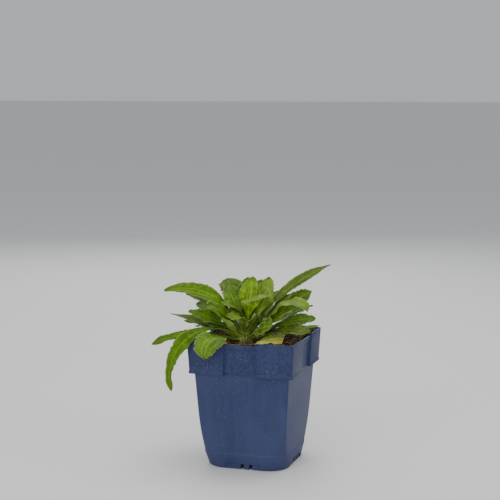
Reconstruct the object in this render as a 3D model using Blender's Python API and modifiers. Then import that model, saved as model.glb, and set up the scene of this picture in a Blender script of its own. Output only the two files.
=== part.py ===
# A leafy blanket-flower rosette in a square nursery pot.
# Frame: +Z up, origin at the middle of the pot's flat base, +X to the right, -Y to the front.
import bpy
import bmesh
import math
from mathutils import Vector, noise

MM = 0.001

# ---- pot ----
POT_HEIGHT = 107.0 * MM
RIM_HALF = 45.0 * MM            # half the outer width across the rim
COLLAR_HEIGHT = 27.8 * MM
COLLAR_FOOT_HALF = 43.4 * MM    # half width at the collar's lower edge
SHOULDER_HALF = 40.1 * MM       # half width of the body just under the collar
BASE_HALF = 34.4 * MM
WALL = 1.1 * MM
BASE_WALL = 2.0 * MM            # the band round the base is thicker
FLOOR = 1.4 * MM
BASE_BAND_TOP = 12.5 * MM
BASE_BAND_PROUD = 0.4 * MM
TOP_CORNER_RADIUS = 2.2 * MM
BASE_CORNER_RADIUS = 18.5 * MM
ROUNDING_START = 46.0 * MM      # below this height the corners open out
PANEL_HALF = 13.2 * MM          # half width of the sunk panel in the middle of each collar side
PANEL_JOG = 0.7 * MM
PANEL_DEPTH = 2.5 * MM
LIP_HEIGHT = 4.0 * MM           # rolled lip along the top of each sunk panel
LIP_PROUD = 0.9 * MM
PANEL_DIP = 2.4 * MM            # how far the rim dips along a sunk panel
FLANGE_HEIGHT = 2.2 * MM        # small flare along the collar's lower edge
FLANGE_PROUD = 0.5 * MM
CORNER_STEPS = 5
DRAIN_RECESS = (29.4 * MM, 1.0 * MM, 4.8 * MM)     # width, depth, height
DRAIN_SLOT = (2.8 * MM, 7.0 * MM, 4.2 * MM)        # width, depth, height
DRAIN_SLOT_PLACES = (-0.8 * MM, 6.4 * MM)          # from the middle of each side

# ---- soil and crown ----
GAP = 0.3 * MM                  # clearance between pieces that touch
SOIL_CLEARANCE = 0.45 * MM
SOIL_LOW = 101.0 * MM           # soil level beside the crown
SOIL_HIGH = 103.4 * MM          # soil level along the walls
SOIL_HEAP = 1.2 * MM            # extra height of the heap at the front right
SOIL_CORNER_HEAP = 2.4 * MM     # more mix is piled into the back right corner
HEAP_START = 14.0 * MM          # where that pile begins, from the pot's middle
HEAP_SPAN = 20.0 * MM
SOIL_RING_STEPS = (0.0, 0.06, 0.22, 0.42, 0.62, 0.82)
CROWN_CENTRE = Vector((-7.0, -8.0, 101.5)) * MM
CROWN_RADIUS = 8.0 * MM
CROWN_FOOT = 98.6 * MM
ROOT_SPREAD = 0.8               # leaves spring lower on the crown than they point

# ---- leaves ----
LEAF_THICKNESS = 0.9 * MM
PETIOLE_HALF = 1.0 * MM
PETIOLE_SHARE = 0.22            # share of the length before the blade starts to widen
TIP_HALF = 0.6 * MM
LEAF_STEPS = 12
FINE_STEPS = 4                  # midrib steps between two rows of the blade
FOLD_SPAN = 0.2                 # share of the length over which a folded leaf turns over

# Each row is one leaf, going round the crown:
# heading (degrees, 0 = +X), length (mm), rise at the crown and at the tip (degrees),
# bend (higher keeps the turn near the tip, negative folds the leaf over at that share of its length),
# width (mm), widest point (share of length), roll (degrees), swing of the heading toward the tip (degrees)
OUTER_LEAVES = (
    (246, 52, 16, -80, 2.6, 24, 0.66, -10, 28),
    (225, 95, 39, -107, 1.0, 13, 0.46, -30, 0),
    (205, 70, 19, -24, 1.0, 9, 0.72, -35, 0),
    (174, 49, 25, -3, 1.2, 9, 0.60, -25, 0),
    (154, 50, 20, -12, 1.0, 14, 0.65, -10, 0),
    (118, 62, 24, -10, 1.0, 16, 0.65, 0, 0),
    (72, 58, 24, -8, 1.0, 16, 0.65, 5, 0),
    (26, 55, 17, 2, 1.0, 6, 0.75, 20, 0),
    (336, 63, 27, -4, 1.0, 15, 0.74, 30, 0),
)
MIDDLE_LEAVES = (
    (189, 57, 28, 9, 1.0, 9, 0.60, -20, 0),
    (202, 45, 46, 8, 1.0, 12, 0.65, -40, 0),
    (247, 25.5, 45, 37.5, 1.0, 12.5, 0.72, -3, 0),
    (165, 48, 48, 6, 1.0, 13, 0.62, -30, 0),
    (142, 50, 42, 0, 1.0, 15, 0.65, -5, 0),
    (66, 54, 40, 0, 1.0, 18, 0.65, 0, 0),
    (36, 58, 36, 10, 1.0, 14, 0.65, 10, 0),
    (10, 54, 33, 3, 1.0, 11, 0.82, 48, 0),
    (341, 50, 39, 27, 1.0, 14, 0.66, 30, 0),
    (322, 36, 37, 13, 1.0, 19, 0.55, 54, 0),
    (350, 65, 47, -75, 4.0, 14, 0.70, 20, 0),
    (26, 61, 45, 26, 1.0, 17, 0.70, 40, 0),
    (312, 27, 54, 38, 1.0, 13, 0.62, 10, 0),
    (196, 38, 36, 16, 1.0, 10, 0.62, -25, 0),
    (114, 48, 60, 28, 1.0, 15, 0.65, 0, 0),
    (66, 50, 58, 20, 1.0, 15, 0.65, 0, 0),
)
INNER_LEAVES = (
    (192, 80, 75.5, -20, 1.0, 14, 0.56, -48, 0),
    (175, 59, 60, 4, 1.0, 12, 0.62, -25, 0),
    (219.5, 39, 63.5, 22, 1.0, 16, 0.62, -35, 0),
    (15, 89, 65, 22, 0.8, 11, 0.62, 40, 0),
    (8, 50, 50, 44, 1.0, 13, 0.62, 30, 0),
    (140, 48, 72, 51, 1.0, 26, 0.68, 0, 0),
    (170, 41, 83, 57, 1.0, 17.5, 0.66, -33, 0),
    (45, 45, 88, 78, 1.0, 19, 0.62, 50, 0),
    (36, 49, 58.5, 80, 0.7, 16, 0.66, 50, 0),
    (78, 47, 66, 56, 1.0, 13, 0.66, 15, 0),
    (163, 62, 131, -12, -0.60, 15, 0.62, 0, 60),
    (100, 45, 79, 70, 1.0, 14, 0.66, 0, 0),
)
HEART_LEAVES = (
    (283, 23, 62, 34, 1.0, 7, 0.62, 0, 0),
    (266, 27, 74, 6, -0.55, 10, 0.70, -30, -60),
    (230, 38, 103, -6, 1.0, 11, 0.62, -20, 0),
)
LEAF_CUP = 0.15                 # how far the blade's edges lift, as a share of its half width

# The shed leaf lying on the soil
OLD_LEAF_START = Vector((8.9, -34.7, 108.6)) * MM
OLD_LEAF_HEADING = 32
OLD_LEAF_LENGTH = 22.0 * MM     # of its near edge, which lies on the soil
OLD_LEAF_LEAD = 6.5 * MM        # how much further its raised edge reaches
OLD_LEAF_WIDTH = 15.0 * MM
OLD_LEAF_TILT = 24              # degrees
OLD_LEAF_FULLNESS = 0.6         # lower makes it broaden sooner
OLD_LEAF_POINT = 0.08           # share of its width left at the tip


def clear_scene():
    for item in list(bpy.data.objects):
        bpy.data.objects.remove(item)


def new_collection(name):
    collection = bpy.data.collections.new(name)
    bpy.context.scene.collection.children.link(collection)
    return collection


def new_material(name, color, roughness, metallic=0.0):
    material = bpy.data.materials.new(name)
    material.use_nodes = True
    shader = material.node_tree.nodes["Principled BSDF"]
    shader.inputs["Base Color"].default_value = (*color, 1.0)
    shader.inputs["Roughness"].default_value = roughness
    shader.inputs["Metallic"].default_value = metallic
    material.diffuse_color = (*color, 1.0)
    return material


def new_object(name, mesh, collection, material):
    obj = bpy.data.objects.new(name, mesh)
    collection.objects.link(obj)
    if material:
        mesh.materials.append(material)
    return obj


def smoothstep(value):
    value = max(0.0, min(1.0, value))
    return value * value * (3.0 - 2.0 * value)


def loft(name, rings, close_ends=True):
    """Closed mesh through rings of equal point counts, each ring counter-clockwise from above."""
    work = bmesh.new()
    rows = [[work.verts.new(point) for point in ring] for ring in rings]
    for lower, upper in zip(rows, rows[1:]):
        for index in range(len(lower)):
            following = (index + 1) % len(lower)
            work.faces.new((lower[index], lower[following], upper[following], upper[index]))
    if close_ends:
        work.faces.new(list(reversed(rows[0])))
        work.faces.new(rows[-1])
    mesh = bpy.data.meshes.new(name)
    work.to_mesh(mesh)
    work.free()
    return mesh


def body_half(height):
    shoulder = POT_HEIGHT - COLLAR_HEIGHT
    return BASE_HALF + (SHOULDER_HALF - BASE_HALF) * height / shoulder


def collar_half(height):
    share = (height - (POT_HEIGHT - COLLAR_HEIGHT)) / COLLAR_HEIGHT
    return COLLAR_FOOT_HALF + (RIM_HALF - COLLAR_FOOT_HALF) * share


def body_corner_radius(height):
    open_share = max(0.0, 1.0 - height / ROUNDING_START)
    return TOP_CORNER_RADIUS + (BASE_CORNER_RADIUS - TOP_CORNER_RADIUS) * open_share ** 2


def outline(half, radius, height, recess=0.0, inset=0.0, dip=0.0):
    """Square outline with round corners and a sunk stretch in the middle of each side."""
    half = half - inset
    radius = max(radius - inset, 0.4 * MM)
    inner_edge = PANEL_HALF + (inset if height > POT_HEIGHT - COLLAR_HEIGHT else 0.0)
    outer_edge = inner_edge + PANEL_JOG
    points = []
    for side in range(4):
        turn = side * math.pi / 2
        front = [
            (-outer_edge, -half, 0.0), (-inner_edge, -half + recess, dip),
            (inner_edge, -half + recess, dip), (outer_edge, -half, 0.0),
        ]
        for step in range(CORNER_STEPS + 1):
            angle = -math.pi / 2 + step * math.pi / 2 / CORNER_STEPS
            x = half - radius + radius * math.cos(angle)
            y = -half + radius + radius * math.sin(angle)
            front.append((x, y, 0.0))
        for x, y, drop in front:
            points.append(Vector((
                x * math.cos(turn) - y * math.sin(turn),
                x * math.sin(turn) + y * math.cos(turn),
                height - drop,
            )))
    return points


def outside_rings():
    shoulder = POT_HEIGHT - COLLAR_HEIGHT
    rings = []
    for height, inset in ((0.0, 1.8), (0.6, 0.6), (2.0, 0.0)):
        rings.append(outline(BASE_HALF + BASE_BAND_PROUD, BASE_CORNER_RADIUS, height * MM, inset=inset * MM))
    band = body_half(BASE_BAND_TOP) + BASE_BAND_PROUD
    rings.append(outline(band, body_corner_radius(BASE_BAND_TOP), BASE_BAND_TOP))
    for height in (BASE_BAND_TOP + 0.6 * MM, 20 * MM, 28 * MM, 37 * MM, ROUNDING_START, shoulder):
        rings.append(outline(body_half(height), body_corner_radius(height), height))
    flare = FLANGE_PROUD
    sunk = PANEL_DEPTH
    rings.append(outline(COLLAR_FOOT_HALF + flare, TOP_CORNER_RADIUS, shoulder, sunk + flare))
    flange_top = shoulder + FLANGE_HEIGHT
    rings.append(outline(collar_half(flange_top) + flare * 0.5, TOP_CORNER_RADIUS, flange_top, sunk + flare * 0.5))
    above = flange_top + 0.4 * MM
    rings.append(outline(collar_half(above), TOP_CORNER_RADIUS, above, sunk))
    lip = POT_HEIGHT - PANEL_DIP - LIP_HEIGHT
    rings.append(outline(collar_half(lip), TOP_CORNER_RADIUS, lip, sunk))
    above = lip + 0.5 * MM
    rings.append(outline(collar_half(above), TOP_CORNER_RADIUS, above, sunk - LIP_PROUD))
    rings.append(outline(RIM_HALF, TOP_CORNER_RADIUS, POT_HEIGHT, sunk - LIP_PROUD, dip=PANEL_DIP))
    return rings


def inside_rings(clearance=0.0):
    """Rings of the hollow from the rim down; a clearance shrinks them for what fills the pot."""
    shoulder = POT_HEIGHT - COLLAR_HEIGHT
    inset = WALL + clearance
    ledge = shoulder + WALL + clearance
    floor = FLOOR + clearance
    rings = [
        outline(RIM_HALF, TOP_CORNER_RADIUS, POT_HEIGHT, PANEL_DEPTH, inset, PANEL_DIP),
        outline(collar_half(ledge), TOP_CORNER_RADIUS, ledge, PANEL_DEPTH, inset),
        outline(body_half(ledge), TOP_CORNER_RADIUS, ledge, 0.0, inset),
    ]
    for height in (ROUNDING_START, 28 * MM, BASE_BAND_TOP + 1.5 * MM):
        rings.append(outline(body_half(height), body_corner_radius(height), height, 0.0, inset))
    thick = BASE_WALL + clearance
    rings.append(outline(body_half(BASE_BAND_TOP), body_corner_radius(BASE_BAND_TOP), BASE_BAND_TOP, 0.0, thick))
    rings.append(outline(BASE_HALF, BASE_CORNER_RADIUS, floor, 0.0, thick))
    return rings


def box_cutter(name, size, centre, turn, cutters):
    work = bmesh.new()
    bmesh.ops.create_cube(work, size=1.0)
    bmesh.ops.scale(work, vec=Vector(size), verts=work.verts)
    mesh = bpy.data.meshes.new(name)
    work.to_mesh(mesh)
    work.free()
    cutter = new_object(name, mesh, cutters, None)
    cutter.location = (
        centre[0] * math.cos(turn) - centre[1] * math.sin(turn),
        centre[0] * math.sin(turn) + centre[1] * math.cos(turn),
        centre[2],
    )
    cutter.rotation_euler = (0.0, 0.0, turn)
    cutter.hide_render = True
    cutter.display_type = "WIRE"
    return cutter


def cut(target, cutter):
    modifier = target.modifiers.new(cutter.name, "BOOLEAN")
    modifier.operation = "DIFFERENCE"
    modifier.solver = "EXACT"
    modifier.object = cutter


def make_pot(parts, cutters):
    blue = new_material("pot blue", (0.046, 0.066, 0.142), 0.42)
    rings = outside_rings() + inside_rings()
    pot = new_object("pot", loft("pot", rings), parts, blue)
    width, depth, height = DRAIN_RECESS
    face = BASE_HALF + BASE_BAND_PROUD
    for side in range(4):
        turn = side * math.pi / 2
        centre = (0.0, -face - 5 * MM + depth, height / 2 - 1 * MM)
        cut(pot, box_cutter(f"drain_recess_{side + 1}", (width, 10 * MM, height + 2 * MM), centre, turn, cutters))
        for number, across in enumerate(DRAIN_SLOT_PLACES):
            wide, deep, tall = DRAIN_SLOT
            centre = (across, -face, tall / 2 - 1 * MM)
            label = f"drain_slot_{side + 1}_{number + 1}"
            cut(pot, box_cutter(label, (wide, deep, tall + 2 * MM), centre, turn, cutters))
    return pot


def soil_height(x, y):
    away = (Vector((x, y)) - CROWN_CENTRE.xy).length
    level = SOIL_LOW + (SOIL_HIGH - SOIL_LOW) * smoothstep((away - 9 * MM) / (26 * MM))
    heap = SOIL_HEAP * smoothstep((x - 0.6 * y - 12 * MM) / (40 * MM))
    corner = smoothstep((x - HEAP_START) / HEAP_SPAN) * smoothstep((y - HEAP_START) / HEAP_SPAN)
    heap += SOIL_CORNER_HEAP * corner
    lumps = noise.noise(Vector((x, y, 0.0)) * 140.0) * 0.5 * MM
    return level + heap + lumps


def make_soil(parts):
    """The potting mix fills the pot's hollow and carries the crown in a shallow dimple."""
    brown = new_material("potting soil", (0.035, 0.022, 0.012), 0.95)
    walls = list(reversed(inside_rings(SOIL_CLEARANCE)))[:-1]
    top = outline(collar_half(SOIL_HIGH), TOP_CORNER_RADIUS, SOIL_HIGH, PANEL_DEPTH, WALL + SOIL_CLEARANCE)
    centre = CROWN_CENTRE.xy
    dimple = CROWN_RADIUS + GAP
    rings = walls
    for share in SOIL_RING_STEPS:
        ring = []
        for point in top:
            around = (point.xy - centre).normalized()
            spot = point.xy.lerp(centre + around * (dimple + 1.5 * MM), share)
            ring.append(Vector((spot.x, spot.y, soil_height(spot.x, spot.y))))
        rings.append(ring)
    for radius, height in ((dimple + 1.0 * MM, SOIL_LOW), (dimple, CROWN_FOOT - GAP)):
        ring = []
        for point in top:
            around = (point.xy - centre).normalized()
            spot = centre + around * radius
            ring.append(Vector((spot.x, spot.y, height)))
        rings.append(ring)
    return new_object("potting_soil", loft("potting_soil", rings), parts, brown)


def make_crown(parts):
    """Short woody crown: a dome with a flat foot, from which every leaf springs radially."""
    green = new_material("crown", (0.12, 0.13, 0.05), 0.8)
    work = bmesh.new()
    bmesh.ops.create_uvsphere(work, u_segments=24, v_segments=14, radius=CROWN_RADIUS)
    foot = CROWN_FOOT - CROWN_CENTRE.z
    geometry = work.verts[:] + work.edges[:] + work.faces[:]
    bmesh.ops.bisect_plane(work, geom=geometry, plane_co=(0, 0, foot), plane_no=(0, 0, -1), clear_outer=True)
    edges = [edge for edge in work.edges if edge.is_boundary]
    bmesh.ops.contextual_create(work, geom=edges)
    bmesh.ops.recalc_face_normals(work, faces=work.faces)
    mesh = bpy.data.meshes.new("crown")
    work.to_mesh(mesh)
    work.free()
    crown = new_object("crown", mesh, parts, green)
    crown.location = CROWN_CENTRE
    return crown


def direction(heading, rise):
    level = math.cos(rise)
    return Vector((math.cos(heading) * level, math.sin(heading) * level, math.sin(rise)))


def half_width(share, width, widest):
    if share < widest:
        grow = smoothstep((share - PETIOLE_SHARE) / (widest - PETIOLE_SHARE))
        return PETIOLE_HALF + (width / 2 - PETIOLE_HALF) * grow
    past = (share - widest) / (1.0 - widest)
    return max(TIP_HALF, width / 2 * math.sqrt(max(0.0, 1.0 - past ** 2)))


def leaf_rows(row):
    """Three points across the blade (edge, midrib, edge) for each step along the leaf."""
    heading, length, rise, tip_rise, bend, width, widest, roll, swing = row
    length = length * MM
    root = direction(math.radians(heading), math.radians(rise * ROOT_SPREAD))
    place = CROWN_CENTRE + root * (CROWN_RADIUS + GAP)
    rows = []
    count = LEAF_STEPS * FINE_STEPS
    for step in range(count + 1):
        share = step / count
        bent = share ** bend if bend > 0 else smoothstep((share + bend) / FOLD_SPAN + 0.5)
        slope = math.radians(rise + (tip_rise - rise) * bent)
        bearing = math.radians(heading + swing * bent)
        along = direction(bearing, slope)
        if step % FINE_STEPS == 0:
            turn = math.radians(roll) * smoothstep(share / 0.5)
            side = Vector((-math.sin(bearing), math.cos(bearing), 0.0))
            up = along.cross(side)
            across = side * math.cos(turn) + up * math.sin(turn)
            face = up * math.cos(turn) - side * math.sin(turn)
            half = half_width(share, width * MM, widest)
            lift = face * (half * LEAF_CUP)
            rows.append((place - across * half + lift, place.copy(), place + across * half + lift))
        place = place + along * (length / count)
    return rows


def blade(name, rows, parts, material):
    """A leaf is an open sheet given its thickness by Solidify."""
    work = bmesh.new()
    grid = [[work.verts.new(point) for point in row] for row in rows]
    for near, far in zip(grid, grid[1:]):
        for index in range(2):
            work.faces.new((near[index], far[index], far[index + 1], near[index + 1]))
    mesh = bpy.data.meshes.new(name)
    work.to_mesh(mesh)
    work.free()
    mesh.shade_smooth()
    leaf = new_object(name, mesh, parts, material)
    thicken = leaf.modifiers.new("thickness", "SOLIDIFY")
    thicken.thickness = LEAF_THICKNESS
    thicken.offset = 0.0
    return leaf


def make_leaves(parts):
    greens = {
        "outer": new_material("outer leaf", (0.13, 0.19, 0.02), 0.6),
        "middle": new_material("middle leaf", (0.16, 0.23, 0.03), 0.6),
        "inner": new_material("inner leaf", (0.22, 0.32, 0.05), 0.6),
        "heart": new_material("heart leaf", (0.26, 0.34, 0.09), 0.6),
    }
    whorls = (("outer", OUTER_LEAVES), ("middle", MIDDLE_LEAVES), ("inner", INNER_LEAVES), ("heart", HEART_LEAVES))
    for whorl, rows in whorls:
        for number, row in enumerate(rows, start=1):
            blade(f"{whorl}_leaf_{number:02d}", leaf_rows(row), parts, greens[whorl])


def make_old_leaf(parts):
    """A yellowed leaf that has dropped onto the soil and leans with one edge up."""
    yellow = new_material("old leaf", (0.32, 0.36, 0.10), 0.65)
    tilt = math.radians(OLD_LEAF_TILT)
    along = direction(math.radians(OLD_LEAF_HEADING), 0.0)
    level = Vector((-along.y, along.x, 0.0))
    across = level * math.cos(tilt) + Vector((0.0, 0.0, math.sin(tilt)))
    rows = []
    for step in range(LEAF_STEPS + 1):
        share = step / LEAF_STEPS
        near = OLD_LEAF_START - across * OLD_LEAF_WIDTH / 2 + along * (OLD_LEAF_LENGTH * share)
        broad = max(OLD_LEAF_POINT, math.sin(share * math.pi / 2) ** OLD_LEAF_FULLNESS)
        far = near + across * (OLD_LEAF_WIDTH * broad) + along * (OLD_LEAF_LEAD * share)
        rows.append((near, (near + far) / 2, far))
    blade("old_yellow_leaf", rows, parts, yellow)


def main():
    clear_scene()
    parts = new_collection("potted_blanket_flower")
    cutters = new_collection("cutters")
    make_pot(parts, cutters)
    make_soil(parts)
    make_crown(parts)
    make_leaves(parts)
    make_old_leaf(parts)


main()
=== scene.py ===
import math
import random

import bpy
import bmesh
from mathutils import Matrix, Vector, noise


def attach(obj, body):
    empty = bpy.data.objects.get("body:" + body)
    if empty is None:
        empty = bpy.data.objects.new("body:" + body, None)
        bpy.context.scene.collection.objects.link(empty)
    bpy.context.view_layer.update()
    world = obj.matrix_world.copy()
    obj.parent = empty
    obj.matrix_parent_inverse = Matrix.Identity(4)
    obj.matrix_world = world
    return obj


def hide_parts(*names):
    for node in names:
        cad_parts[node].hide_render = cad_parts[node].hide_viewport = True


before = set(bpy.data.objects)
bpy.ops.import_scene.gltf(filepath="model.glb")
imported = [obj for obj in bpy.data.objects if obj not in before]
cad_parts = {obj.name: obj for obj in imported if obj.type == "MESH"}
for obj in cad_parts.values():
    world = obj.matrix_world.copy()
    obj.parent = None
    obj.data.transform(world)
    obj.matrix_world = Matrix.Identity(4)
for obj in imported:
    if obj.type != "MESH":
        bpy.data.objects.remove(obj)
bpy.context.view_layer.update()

mm = 0.001
up = Vector((0.0, 0.0, 1.0))


class Wire:
    # a value on its way through a shader, so that shader maths reads as maths
    def __init__(self, tree, socket=None):
        self.tree = tree
        self.socket = socket

    def node(self, kind, settings=None, inputs=None, output=0):
        made = self.tree.nodes.new("ShaderNode" + kind)
        for name, value in (settings or {}).items():
            if name == "stops":
                setRamp(made.color_ramp, value)
            else:
                setattr(made, name, value)
        for name, value in (inputs or {}).items():
            if isinstance(value, Wire):
                self.tree.links.new(value.socket, made.inputs[name])
            else:
                made.inputs[name].default_value = value
        return Wire(self.tree, made.outputs[output])

    def math(self, operation, first, second=0.0):
        return self.node("Math", {"operation": operation}, {0: first, 1: second})

    def __add__(self, other):
        return self.math("ADD", self, other)

    __radd__ = __add__

    def __sub__(self, other):
        return self.math("SUBTRACT", self, other)

    def __rsub__(self, other):
        return self.math("SUBTRACT", other, self)

    def __mul__(self, other):
        return self.math("MULTIPLY", self, other)

    __rmul__ = __mul__

    def magnitude(self):
        return self.math("ABSOLUTE", self)

    def sine(self):
        return self.math("SINE", self)

    def between(self, low, high, start=0.0, end=1.0):
        settings = {"interpolation_type": "SMOOTHSTEP", "clamp": True}
        return self.node("MapRange", settings, {0: self, 1: low, 2: high, 3: start, 4: end})

    def blend(self, first, second):
        return self.node("Mix", {"data_type": "RGBA"}, {0: self, 6: first, 7: second}, 2)


def setRamp(ramp, stops):
    while len(ramp.elements) < len(stops):
        ramp.elements.new(1.0)
    for element, (place, color) in zip(ramp.elements, stops):
        element.position = place
        element.color = color


def rgb(red, green, blue):
    # colours are given as seen on screen, 0 to 255, and turned to linear light here
    def linear(value):
        value = value / 255
        return value / 12.92 if value <= 0.04045 else ((value + 0.055) / 1.055) ** 2.4
    return (linear(red), linear(green), linear(blue), 1.0)


class Finish:
    # a new material with its Principled shader ready to be wired
    def __init__(self, name, **constants):
        self.material = bpy.data.materials.new(name)
        self.material.use_nodes = True
        self.tree = self.material.node_tree
        self.shader = self.tree.nodes["Principled BSDF"]
        self.start = Wire(self.tree)
        for name, value in constants.items():
            self.shader.inputs[name].default_value = value

    def place(self):
        return self.start.node("TexCoord", output=3)

    def noise(self, where, scale, detail=3.0, roughness=0.55, distortion=0.0):
        inputs = {"Vector": where, "Scale": scale, "Detail": detail,
                  "Roughness": roughness, "Distortion": distortion}
        return self.start.node("TexNoise", None, inputs)

    def stretch(self, where, factors):
        return self.start.node("Mapping", None, {"Vector": where, "Scale": factors})

    def wire(self, **links):
        for name, value in links.items():
            self.tree.links.new(value.socket, self.shader.inputs[name.replace("_", " ")])
        return self.material

    def bump(self, height, strength, distance):
        return self.start.node("Bump", None, {"Height": height, "Strength": strength, "Distance": distance})


def smoothStep(value):
    value = max(0.0, min(1.0, value))
    return value * value * (3 - 2 * value)


def direction(heading, rise):
    level = math.cos(rise)
    return Vector((math.cos(heading) * level, math.sin(heading) * level, math.sin(rise)))


def addPiece(name, mesh, slotName, *materials):
    piece = bpy.data.objects.new(name, mesh)
    bpy.context.scene.collection.objects.link(piece)
    for material in materials:
        mesh.materials.append(material)
    mesh.shade_smooth()
    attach(piece, "root")
    return piece


def meshFrom(name, work):
    mesh = bpy.data.meshes.new(name)
    work.to_mesh(mesh)
    work.free()
    return mesh


def pebbleShape(subdivisions):
    # the points and faces of a small round lump, to be copied many times
    work = bmesh.new()
    bmesh.ops.create_icosphere(work, subdivisions=subdivisions, radius=1.0)
    work.verts.ensure_lookup_table()
    points = [vert.co.copy() for vert in work.verts]
    faces = [tuple(vert.index for vert in face.verts) for face in work.faces]
    work.free()
    return points, faces


def scatterMesh(name, shape, placings, roughen=0.0, dice=None):
    points, faces = shape
    allPoints, allFaces = [], []
    for placing in placings:
        first = len(allPoints)
        for point in points:
            if roughen:
                point = point * (1 + dice.uniform(-roughen, roughen))
            allPoints.append(placing @ point)
        allFaces += [tuple(first + index for index in face) for face in faces]
    mesh = bpy.data.meshes.new(name)
    mesh.from_pydata(allPoints, [], allFaces)
    return mesh


studio = {
    "floorSize": 60.0,
    "floorColor": rgb(226, 225, 222),
    "floorFleck": rgb(205, 204, 200),
    "skyColor": rgb(236, 240, 246),
    "skyStrength": 0.58,
}

# each softbox: place, aim, size, power and colour
lights = {
    "key softbox": ((-0.12, -1.20, 0.62), (0, 0, 0.12), (1.2, 1.0), 9.5, (1.0, 0.98, 0.95)),
    "side softbox": ((1.25, -0.25, 0.5), (0, 0, 0.08), (0.5, 0.9), 2.2, (0.95, 0.97, 1.0)),
    "top softbox": ((0.1, 0.25, 1.25), (0, 0, 0.1), (0.9, 0.9), 8.0, (1.0, 1.0, 0.98)),
    "back softbox": ((-0.5, 1.15, 0.8), (0, 0, 0.1), (0.8, 0.8), 5.0, (0.97, 0.98, 1.0)),
}

view = {
    "azimuth": 17.47,       # degrees round from the front
    "elevation": 6.91,      # degrees above level
    "distance": 1.10,
    "target": Vector((-4.8, 0.0, 176.6)) * mm,
    "lens": 95.85,
    "sensor": 36.0,
}


def makeLight(name, place, aim, size, power, color):
    data = bpy.data.lights.new(name, "AREA")
    data.shape = "RECTANGLE"
    data.size, data.size_y = size
    data.energy = power
    data.color = color
    light = bpy.data.objects.new(name, data)
    bpy.context.scene.collection.objects.link(light)
    light.location = place
    light.rotation_euler = (Vector(aim) - Vector(place)).to_track_quat("-Z", "Y").to_euler()


def makeStage():
    work = bmesh.new()
    bmesh.ops.create_grid(work, x_segments=2, y_segments=2, size=studio["floorSize"] / 2)
    floor = bpy.data.objects.new("floor", meshFrom("floor", work))
    bpy.context.scene.collection.objects.link(floor)
    paper = Finish("floor paper", Roughness=0.9)
    grain = paper.noise(paper.place(), 900.0).between(0.3, 0.7, 0.0, 0.05)
    tone = grain.blend(studio["floorColor"], studio["floorFleck"])
    floor.data.materials.append(paper.wire(Base_Color=tone))

    world = bpy.data.worlds.new("studio")
    bpy.context.scene.world = world
    world.use_nodes = True
    sky = world.node_tree.nodes["Background"]
    sky.inputs["Color"].default_value = studio["skyColor"]
    sky.inputs["Strength"].default_value = studio["skyStrength"]

    for name, (place, aim, size, power, color) in lights.items():
        makeLight(name, place, aim, size, power, color)


def makeCamera():
    turn = math.radians(view["azimuth"])
    tilt = math.radians(view["elevation"])
    back = Vector((math.sin(turn) * math.cos(tilt), -math.cos(turn) * math.cos(tilt), math.sin(tilt)))
    data = bpy.data.cameras.new("camera")
    data.lens = view["lens"]
    data.sensor_width = view["sensor"]
    camera = bpy.data.objects.new("camera", data)
    bpy.context.scene.collection.objects.link(camera)
    camera.location = view["target"] + back * view["distance"]
    camera.rotation_euler = (-back).to_track_quat("-Z", "Y").to_euler()
    bpy.context.scene.camera = camera


pot = {
    "height": 107.0 * mm,
    "rimHalf": 45.0 * mm,
    "collarHeight": 27.8 * mm,
    "collarFootHalf": 43.4 * mm,
    "shoulderHalf": 40.1 * mm,
    "baseHalf": 34.4 * mm,
    "wall": 1.1 * mm,
    "baseWall": 2.0 * mm,
    "floor": 1.4 * mm,
    "bandTop": 12.5 * mm,
    "bandProud": 0.4 * mm,
    "topCorner": 2.2 * mm,
    "baseCorner": 18.5 * mm,
    "roundingStart": 46.0 * mm,
    "panelHalf": 13.2 * mm,
    "panelJog": 0.7 * mm,
    "panelDepth": 2.5 * mm,
    "lipHeight": 4.0 * mm,
    "lipProud": 0.9 * mm,
    "panelDip": 2.4 * mm,
    "flangeHeight": 2.2 * mm,
    "flangeProud": 0.5 * mm,
    "cornerSteps": 10,
    "leastCorner": 0.4 * mm,
    "footRings": ((0.0, 2.0), (0.25, 1.1), (0.8, 0.45), (1.5, 0.1), (2.3, 0.0)),  # mm up, mm in
    "bodyRings": (16, 20, 24, 28, 32, 36, 40, 43),                                # mm up
    "innerRings": (37, 28, 20),                                                   # mm up
    "bandEdge": 0.6 * mm,
    "innerBandEdge": 1.5 * mm,
    "flangeEdge": 0.4 * mm,
    "lipEdge": 0.5 * mm,
    "edgeRound": 0.22 * mm,
    "edgeAngle": 28,          # degrees, sharper edges than this are rounded
    "smoothAngle": 40,
    "recess": (29.4 * mm, 1.0 * mm, 4.8 * mm),
    "drainSlot": (2.8 * mm, 7.0 * mm, 4.2 * mm),
    "drainPlaces": (-0.8 * mm, 6.4 * mm),
}
shoulder = pot["height"] - pot["collarHeight"]


def bodyHalf(height):
    return pot["baseHalf"] + (pot["shoulderHalf"] - pot["baseHalf"]) * height / shoulder


def collarHalf(height):
    share = (height - shoulder) / pot["collarHeight"]
    return pot["collarFootHalf"] + (pot["rimHalf"] - pot["collarFootHalf"]) * share


def bodyCorner(height):
    openShare = max(0.0, 1 - height / pot["roundingStart"])
    return pot["topCorner"] + (pot["baseCorner"] - pot["topCorner"]) * openShare ** 2


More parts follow.
